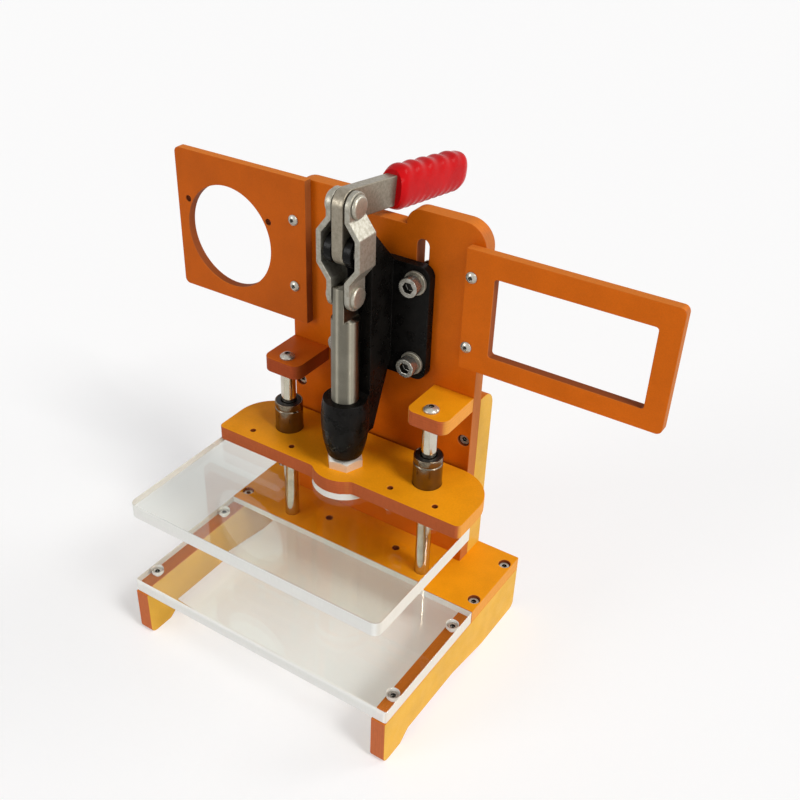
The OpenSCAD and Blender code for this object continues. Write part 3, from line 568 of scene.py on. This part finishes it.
def finish_sheets():
    # Each row: solids, their sheet material and the material of their hole walls; the sheet materials are lit and
    # shaded copies of one laminate, painted light and shade.
    laminates = (
        (["base_plate", "bracket_right", "press_plate"], laminate_level_painted_light, level_bore_painted_shade),
        (["back_plate", "panel_right"], laminate_upright_painted_shade, upright_bore_painted_shade),
        (["side_plate_left", "side_plate_right", "rib_left", "rib_right"], laminate_sidewise_painted_light, sidewise_bore_painted_shade),
        # The left bracket and the left panel get the darker copies: painted shade.
        (["bracket_left"], level_deep_painted_shade, level_bore_painted_shade),
        (["panel_left"], upright_deep_painted_shade, upright_bore_painted_shade),
    )
    for names, material, bore_shade in laminates:
        for name in names:
            piece = copy_solid(name)
            ease(piece, SHEET_EASE)
            stand_for(piece, name, material, bore_shade)
            shade_bores(piece)
    for name, reshape in (("bed_plate", round_front), ("pusher_plate", widen_notch)):
        piece = copy_solid(name)
        reshape(piece)
        ease(piece, CLEAR_EASE)
        draw_in(piece, CLEAR_GAP)
        stand_for(piece, name, clear_sheet, frosted_edge)
        for face in piece.data.polygons:
            face.material_index = 0 if abs(face.normal.z) > 0.9 else 1


# Metal parts

def islands(mesh):
    """The faces of each separate solid in a mesh."""
    met = set()
    for seed in mesh.faces:
        if seed in met:
            continue
        island, queue = [], [seed]
        met.add(seed)
        while queue:
            face = queue.pop()
            island.append(face)
            for other in (f for edge in face.edges for f in edge.link_faces if f not in met):
                met.add(other)
                queue.append(other)
        yield island


def shade_sockets(piece):
    """Gives the faces inside each screw's key socket the near-black recess material: painted shade."""
    mesh = bmesh.new()
    mesh.from_mesh(piece.data)
    for island in islands(mesh):
        low, high = reach(v.co for face in island for v in face.verts)
        axis = max(range(3), key=lambda i: (high - low)[i])
        middle = (low + high) / 2
        for face in island:
            centre = face.calc_center_median()
            out = centre - middle
            out[axis] = 0.0
            inward = out.length > 1e-7 and face.normal.dot(out.normalized()) < -0.5
            floor = out.length < 0.6 * MM and abs(face.normal[axis]) > 0.9 and len(face.verts) >= 6
            from_end = min(abs(centre[axis] - low[axis]), abs(centre[axis] - high[axis]))
            if inward or (floor and from_end > 0.3 * MM):
                face.material_index = 1
    mesh.to_mesh(piece.data)
    mesh.free()


def finish_metal():
    """Each row: finish, width of the eased edges in millimetres, their segments, solids."""
    rows = [
        (zinc, 0.45, 3, ["link_left", "link_right"]),
        (lever_zinc, 0.45, 3, ["handle_lever"]),
        (bright_zinc, 0.25, 2, ["plunger_pin", "press_bolt"]),
        (rivet_zinc, 0.25, 2, ["clamp_washers", "clamp_back_washers", "clamp_nuts"]),
        (plunger_steel, 0.3, 3, ["plunger"]),
        (rod_chrome, 0.3, 2, ["rod_left", "rod_right"]),
        (bushing_steel, 0.25, 2, ["bushing_left", "bushing_right"]),
        (bolt_steel, 0.35, 2, ["clamp_bolts"]),
        (screw_steel, 0.15, 2, ["bed_screws", "base_screws", "back_plate_screws", "rib_screws", "panel_screws",
                                "bracket_screws", "rod_screws", "rod_foot_screws", "pusher_screws"]),
        (black_casting, 0.25, 3, ["clamp_body"]),
        (seal_rubber, 0.2, 2, ["bushing_seals"]),
    ]
    for material, width, segments, names in rows:
        for name in names:
            piece = copy_solid(name)
            ease(piece, width * MM, segments)
            # Screws and bolts get painted shade inside their key sockets.
            if material in (screw_steel, bolt_steel):
                stand_for(piece, name, material, socket_shade)
                shade_sockets(piece)
            else:
                stand_for(piece, name, material)


def make_press_nut():
    """Jam nut with one corner to the front and a chamfered upper rim."""
    piece = copy_solid("press_nut")
    low, high = reach(v.co for v in piece.data.vertices)
    corner = max((v.co - PLUNGER_LINE for v in piece.data.vertices), key=lambda p: p.xy.length)
    turn = NUT_CORNER_AT - math.atan2(corner.y, corner.x)
    piece.matrix_world = (Matrix.Translation(PLUNGER_LINE) @ Matrix.Rotation(turn, 4, "Z")
                          @ Matrix.Translation(-PLUNGER_LINE))
    settle(piece)
    let_go()
    tall = high.z - low.z + 1 * MM
    bpy.ops.mesh.primitive_cone_add(
        vertices=128, radius1=NUT_RIM_R + tall / math.tan(NUT_CHAMFER), radius2=NUT_RIM_R, depth=tall,
        location=(PLUNGER_LINE.x, PLUNGER_LINE.y, high.z - tall / 2))
    cutter = bpy.context.object
    take(piece)
    chamfer = piece.modifiers.new("chamfer", "BOOLEAN")
    chamfer.operation, chamfer.solver, chamfer.object = "INTERSECT", "EXACT", cutter
    bpy.ops.object.modifier_apply(modifier="chamfer")
    bpy.data.objects.remove(cutter, do_unlink=True)
    bpy.ops.object.shade_flat()
    stand_for(piece, "press_nut", bright_zinc)


def finish_rivets():
    """Rivets with rounded heads."""
    for name in ("handle_rivet", "link_rivet_left", "link_rivet_right", "pivot_pin"):
        piece = copy_solid(name)
        end = max(abs(v.co.x) for v in piece.data.vertices)
        pick_edges(piece, lambda p: abs(p.x) > end - NEAR)
        bpy.ops.mesh.bevel(offset=RIVET_DOME, segments=5, affect="EDGES", clamp_overlap=True)
        done()
        take(piece)
        bpy.ops.object.shade_smooth_by_angle(angle=math.radians(40))
        stand_for(piece, name, rivet_zinc)


# Grip

def section(angle):
    """Point of the grip's rounded oval section."""
    power = 2.0 / GRIP_SQUARENESS
    c, s = math.cos(angle), math.sin(angle)
    return (math.copysign(abs(c) ** power, c) * GRIP_HALF_W, math.copysign(abs(s) ** power, s) * GRIP_HALF_H)


def grip_point(t, angle):
    """Point of the grip's skin, with t from 0 at the arm's bare part to 1 at the domed end."""
    along = t * GRIP_LENGTH
    left = GRIP_LENGTH - along
    px, pz = section(angle)
    above = pz > 0
    dome = math.sqrt(max(0.0, 1 - max(0.0, 1 - left / GRIP_DOME) ** 2))
    lip = 0.84 + 0.16 * math.sin(min(1.0, along / GRIP_LIP) * math.pi / 2)
    pitch = WAVE_PITCH_ABOVE if above else WAVE_PITCH_BELOW
    depth = WAVE_DEPTH_ABOVE if above else WAVE_DEPTH_BELOW
    wave = math.cos(2 * math.pi * (along - WAVE_SHIFT - WAVE_SLANT * pz) / pitch) * abs(math.sin(angle)) ** 1.6
    fade = min(1.0, along / WAVE_FADE_IN) * min(1.0, max(0.0, left / WAVE_FADE_OUT))
    size = lip * dome * (0.955 + depth * wave * fade)
    hump = 1.0 + max(0.0, 0.13 - 0.19 * t) if above else 1.0
    return Vector((px * size, GRIP_START + along, pz * hump * size))


def make_grip():
    """Dipped grip with slanting finger waves, from the arm's bare part to its domed end."""
    bpy.ops.mesh.primitive_cylinder_add(vertices=GRIP_SIDES, radius=1, depth=1, end_fill_type="NOTHING")
    grip = bpy.context.object
    grip.name = "handle_grip_vinyl"
    edit(grip)
    bpy.ops.mesh.select_all(action="SELECT")
    mesh = bmesh.from_edit_mesh(grip.data)
    upright = [e for e in mesh.edges if abs(e.verts[0].co.z - e.verts[1].co.z) > 0.5]
    bmesh.ops.subdivide_edges(mesh, edges=upright, cuts=GRIP_RINGS - 1, use_grid_fill=True)
    for v in mesh.verts:
        v.co = grip_point(v.co.z + 0.5, math.atan2(v.co.y, v.co.x))
    bmesh.update_edit_mesh(grip.data)
    bpy.ops.mesh.select_mode(type="EDGE")
    bpy.ops.mesh.select_all(action="SELECT")
    bpy.ops.mesh.region_to_loop()
    bpy.ops.mesh.edge_face_add()
    done()
    grip.matrix_world = Matrix.Translation(joint_at["link_swing"]) @ Matrix.Rotation(-GRIP_SLOPE, 4, "X")
    settle(grip)
    face_out(grip)
    take(grip)
    bpy.ops.object.shade_smooth_by_angle(angle=math.radians(50))
    stand_for(grip, "handle_grip", red_vinyl)


# Floor, light and camera

def make_floor():
    """White floor that keeps its shadows; part of its white is its own where it is seen."""
    bpy.ops.mesh.primitive_plane_add(size=8, location=(0, 0, cad_box[0][2]))
    floor = bpy.context.object
    floor.name = "floor"
    settle(floor)
    material, tree, shader = start_material("white_floor", Roughness=0.9, Specular_IOR_Level=0.0,
                                            Emission_Strength=0.4)
    at = put(tree, "ShaderNodeTexCoord").outputs["Object"]
    through = calc(tree, "MULTIPLY", ray_is(tree, "Is Glossy Ray", "Is Transmission Ray"), 0.55)
    seen = calc(tree, "MAXIMUM", ray_is(tree, "Is Camera Ray"), through)
    plain = blend(tree, noise(tree, at, 30.0), (0.98, 0.98, 0.98, 1), (0.96, 0.96, 0.96, 1))
    tree.links.new(blend(tree, seen, plain, (0.60, 0.60, 0.60, 1)), shader["Base Color"])
    tree.links.new(blend(tree, seen, (0, 0, 0, 1), (1, 1, 1, 1)), shader["Emission Color"])
    floor.data.materials.append(material)


def make_world():
    """Grey light all round that is seen as white."""
    world = bpy.data.worlds.new("studio")
    world.use_nodes = True
    scene.world = world
    tree = world.node_tree
    seen = ray_is(tree, "Is Camera Ray", "Is Glossy Ray", "Is Transmission Ray")
    sky = blend(tree, seen, (0.31, 0.31, 0.32, 1), (1, 1, 1, 1))
    tree.links.new(sky, tree.nodes["Background"].inputs["Color"])


def make_lamps():
    """Each row: name, direction to the lamp, its width in degrees, strength, tint."""
    warm, white = (1.0, 0.99, 0.97), (1.0, 1.0, 1.0)
    rows = (
        ("right lamp", (0.68, -0.14, 0.72), 16, 1.8, warm),
        ("back lamp", (0.60, 0.66, 0.45), 24, 0.7, warm),
        ("left lamp", (-0.52, -0.80, 0.26), 24, 0.85, white),
        ("low lamp", (0.90, 0.11, 0.12), 26, 1.0, warm),
    )
    for name, direction, width, power, tint in rows:
        data = bpy.data.lights.new(name, "SUN")
        data.angle = math.radians(width)
        data.energy = power
        data.color = tint
        light = bpy.data.objects.new(name, data)
        scene.collection.objects.link(light)
        away = Vector(direction).normalized()
        light.location = away * 2
        light.rotation_euler = away.to_track_quat("Z", "Y").to_euler()


def make_camera():
    """The photograph's camera, as fitted to the fixture's corners."""
    place, roll = (0.2498, -0.3184, 0.3828), 0.008
    data = bpy.data.cameras.new("camera")
    data.lens = 47.14
    data.sensor_width = 36.0
    data.shift_x, data.shift_y = 0.0613, 0.0555
    camera = bpy.data.objects.new("camera", data)
    scene.collection.objects.link(camera)
    back = Vector((0.4621, -0.6734, 0.5770)).normalized()
    right = Vector((0.8245, 0.5658, 0.0)).normalized()
    right = (right + roll * back.cross(right)).normalized()
    up = back.cross(right)
    camera.matrix_world = Matrix.Translation(place) @ Matrix((right, up, back)).transposed().to_4x4()
    scene.camera = camera


let_go()
make_camera()
make_floor()
make_world()
make_lamps()
finish_sheets()
finish_metal()
make_press_nut()
finish_rivets()
make_grip()
